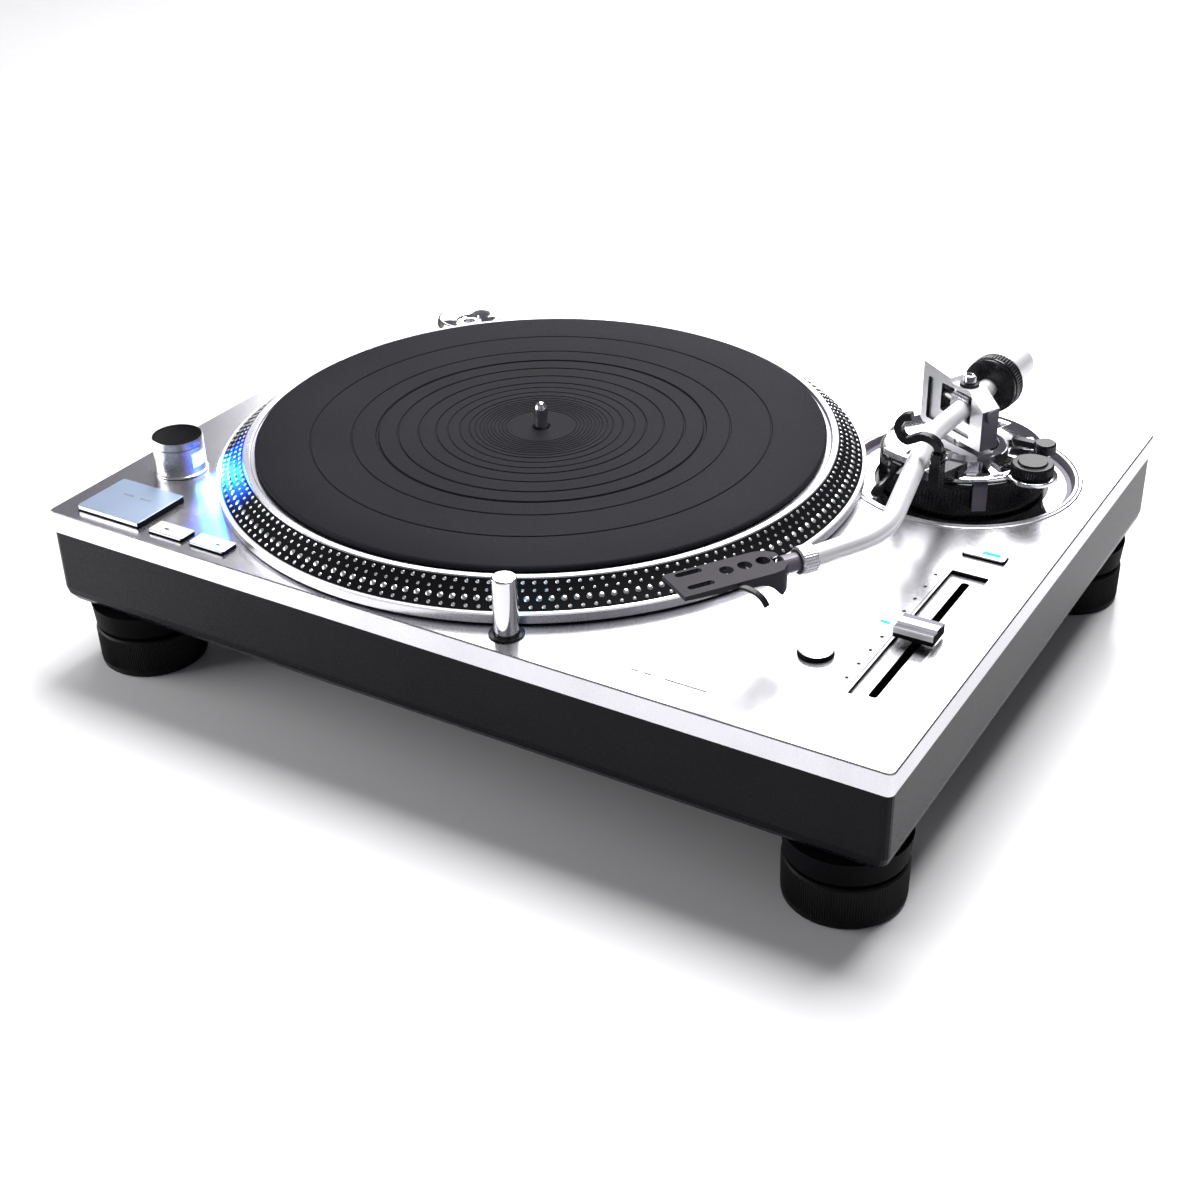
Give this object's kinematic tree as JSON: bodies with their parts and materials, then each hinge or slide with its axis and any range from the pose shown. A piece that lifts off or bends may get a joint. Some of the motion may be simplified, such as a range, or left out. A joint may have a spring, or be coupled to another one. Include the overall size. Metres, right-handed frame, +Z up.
{
  "type": "turntable record player",
  "caption": "Direct-drive record player: flat metal deck on levelling feet, driven platter with mat, pitch fader, pop-up lamp and a gimballed S-shaped tonearm.",
  "frame": {"origin": "on the floor under the middle of the deck", "axes": "+X along the front edge to the right, +Y from the front to the back, +Z up"},
  "size_m": [0.453, 0.346, 0.1508],
  "materials": {
    "satin_aluminium": "satin, bead blasted",
    "platter_metal": "machined",
    "chassis_dark": "dark moulding",
    "bright_chrome": "polished",
    "turned_steel": "turned",
    "soft_rubber": "matt",
    "black_plastic": "fine texture",
    "black_metal": "black satin coat",
    "windings": "varnished windings",
    "board_green": "circuit board",
    "blue_lens": "lit lens"
  },
  "bodies": {
    "chassis": {"top_plate": "satin_aluminium", "chassis_tray": "chassis_dark", "base_cover": "chassis_dark", "foot_collar_front_left": "black_plastic", "foot_collar_front_right": "black_plastic", "foot_collar_rear_left": "black_plastic", "foot_collar_rear_right": "black_plastic", "motor_stator": "windings", "bearing_housing": "turned_steel", "power_transformer": "windings", "control_board": "board_green", "power_inlet": "black_plastic", "phono_panel": "black_plastic", "ground_post": "bright_chrome", "strobe_housing": "satin_aluminium", "strobe_lens": "blue_lens", "fader_bezel": "bright_chrome", "lamp_sleeve": "bright_chrome", "arm_mount": "black_metal", "arm_well": "bright_chrome"},
    "foot_front_left": {"foot_front_left": "soft_rubber"},
    "foot_front_right": {"foot_front_right": "soft_rubber"},
    "foot_rear_left": {"foot_rear_left": "soft_rubber"},
    "foot_rear_right": {"foot_rear_right": "soft_rubber"},
    "platter": {"platter": "platter_metal", "spindle": "turned_steel", "rotor_magnet": "black_metal"},
    "mat": {"platter_mat": "soft_rubber"},
    "power_dial": {"power_dial": "black_plastic"},
    "start_stop": {"start_stop_button": "satin_aluminium"},
    "speed_33": {"speed_33_button": "satin_aluminium"},
    "speed_45": {"speed_45_button": "satin_aluminium"},
    "reset": {"reset_button": "satin_aluminium"},
    "lamp_release": {"lamp_button": "satin_aluminium"},
    "stylus_lamp": {"lamp_post": "bright_chrome", "lamp_lens": "blue_lens"},
    "pitch_fader": {"fader_knob": "satin_aluminium"},
    "adaptor": {"record_adaptor": "bright_chrome"},
    "arm_base": {"arm_base": "satin_aluminium", "pivot_post": "turned_steel", "arm_rest": "black_plastic"},
    "height_ring": {"height_ring": "black_metal"},
    "height_lock": {"height_lock_lever": "black_plastic"},
    "anti_skate": {"anti_skate_dial": "black_plastic"},
    "cue_lever": {"cue_lever": "black_plastic"},
    "lift_bar": {"lift_bar": "satin_aluminium"},
    "arm_clamp": {"arm_clamp": "black_plastic"},
    "gimbal": {"gimbal_yoke": "satin_aluminium", "bearing_cap": "bright_chrome", "pivot_screw_right": "bright_chrome", "pivot_screw_left": "bright_chrome"},
    "arm": {"arm_tube": "bright_chrome", "gimbal_trunnion": "satin_aluminium", "auxiliary_weight": "bright_chrome"},
    "counterweight": {"counterweight": "black_metal"},
    "tracking_dial": {"tracking_dial": "black_plastic"},
    "collar_nut": {"collar_nut": "bright_chrome"},
    "headshell": {"headshell": "black_metal", "finger_lift": "black_plastic", "shell_plug": "black_plastic"}
  },
  "joints": [
    {"name": "foot_front_left_level", "type": "slide", "parent": "chassis", "child": "foot_front_left", "axis": [0, 0, -1], "range_m": [0, 0.006]},
    {"name": "foot_front_right_level", "type": "slide", "parent": "chassis", "child": "foot_front_right", "axis": [0, 0, -1], "range_m": [0, 0.006]},
    {"name": "foot_rear_left_level", "type": "slide", "parent": "chassis", "child": "foot_rear_left", "axis": [0, 0, -1], "range_m": [0, 0.006]},
    {"name": "foot_rear_right_level", "type": "slide", "parent": "chassis", "child": "foot_rear_right", "axis": [0, 0, -1], "range_m": [0, 0.006]},
    {"name": "platter_spin", "type": "hinge", "parent": "chassis", "child": "platter", "pos_m": [-0.041, -0.0049, 0.0885], "axis": [0, 0, 1], "continuous": true},
    {"name": "mat_lift", "type": "slide", "parent": "platter", "child": "mat", "axis": [0, 0, 1], "range_m": [0, 0.012]},
    {"name": "power_dial_turn", "type": "hinge", "parent": "chassis", "child": "power_dial", "pos_m": [-0.1987, -0.105, 0.1035], "axis": [0, 0, 1], "range_deg": [0, 60]},
    {"name": "start_stop_press", "type": "slide", "parent": "chassis", "child": "start_stop", "axis": [0, 0, -1], "range_m": [0, 0.001], "stiffness_N_per_m": 600, "springref_m": -0.0005},
    {"name": "speed_33_press", "type": "slide", "parent": "chassis", "child": "speed_33", "axis": [0, 0, -1], "range_m": [0, 0.0008], "stiffness_N_per_m": 600, "springref_m": -0.0005},
    {"name": "speed_45_press", "type": "slide", "parent": "chassis", "child": "speed_45", "axis": [0, 0, -1], "range_m": [0, 0.0008], "stiffness_N_per_m": 600, "springref_m": -0.0005},
    {"name": "reset_press", "type": "slide", "parent": "chassis", "child": "reset", "axis": [0, 0, -1], "range_m": [0, 0.0008], "stiffness_N_per_m": 600, "springref_m": -0.0005},
    {"name": "lamp_release_press", "type": "slide", "parent": "chassis", "child": "lamp_release", "axis": [0, 0, -1], "range_m": [0, 0.001], "stiffness_N_per_m": 600, "springref_m": -0.0005},
    {"name": "stylus_lamp_drop", "type": "slide", "parent": "chassis", "child": "stylus_lamp", "axis": [0, 0, -1], "range_m": [0, 0.027]},
    {"name": "pitch_fader_slide", "type": "slide", "parent": "chassis", "child": "pitch_fader", "axis": [0, 1, 0], "range_m": [-0.046, 0.054]},
    {"name": "adaptor_lift", "type": "slide", "parent": "chassis", "child": "adaptor", "axis": [0, 0, 1], "range_m": [0, 0.015]},
    {"name": "arm_height", "type": "slide", "parent": "chassis", "child": "arm_base", "axis": [0, 0, 1], "range_m": [0, 0.006]},
    {"name": "height_ring_turn", "type": "hinge", "parent": "chassis", "child": "height_ring", "pos_m": [0.1545, 0.0828, 0.0885], "axis": [0, 0, 1], "range_deg": [0, 180]},
    {"name": "height_lock_turn", "type": "hinge", "parent": "arm_base", "child": "height_lock", "pos_m": [0.193, 0.0918, 0.1055], "axis": [0, 0, -1], "range_deg": [0, 60]},
    {"name": "anti_skate_turn", "type": "hinge", "parent": "arm_base", "child": "anti_skate", "pos_m": [0.195, 0.0678, 0.1055], "axis": [0, 0, 1], "range_deg": [0, 270]},
    {"name": "lift_bar_rise", "type": "slide", "parent": "arm_base", "child": "lift_bar", "axis": [0, 0, 1], "range_m": [0, 0.003]},
    {"name": "cue_lever_turn", "type": "hinge", "parent": "arm_base", "child": "cue_lever", "pos_m": [0.1385, 0.0393, 0.109], "axis": [-0.9455, 0.3256, 0], "range_deg": [0, 35]},
    {"name": "arm_clamp_turn", "type": "hinge", "parent": "arm_base", "child": "arm_clamp", "pos_m": [0.1673, 0.0118, 0.1321], "axis": [0, 1, 0], "range_deg": [0, 100]},
    {"name": "arm_yaw", "type": "hinge", "parent": "arm_base", "child": "gimbal", "pos_m": [0.1545, 0.0828, 0.1265], "axis": [0, 0, -1], "range_deg": [0, 40]},
    {"name": "arm_pitch", "type": "hinge", "parent": "gimbal", "child": "arm", "pos_m": [0.1545, 0.0828, 0.1265], "axis": [-0.8829, 0.4695, 0], "range_deg": [0, 4]},
    {"name": "counterweight_slide", "type": "slide", "parent": "arm", "child": "counterweight", "axis": [0.0698, 0.9976, 0], "range_m": [-0.005, 0.002]},
    {"name": "tracking_dial_turn", "type": "hinge", "parent": "counterweight", "child": "tracking_dial", "pos_m": [0.1545, 0.0828, 0.1265], "axis": [0.0698, 0.9976, 0], "continuous": true},
    {"name": "collar_nut_turn", "type": "hinge", "parent": "arm", "child": "collar_nut", "pos_m": [0.148, -0.0858, 0.1205], "axis": [-0.5519, -0.8339, 0], "continuous": true},
    {"name": "headshell_pull", "type": "slide", "parent": "arm", "child": "headshell", "axis": [-0.5519, -0.8339, 0], "range_m": [0, 0.012]}
  ],
  "couplings": [
    {"joint": "height_ring_turn", "follows": "arm_height", "rad_per_m": 523.5},
    {"joint": "cue_lever_turn", "follows": "lift_bar_rise", "rad_per_m": 203.6}
  ]
}
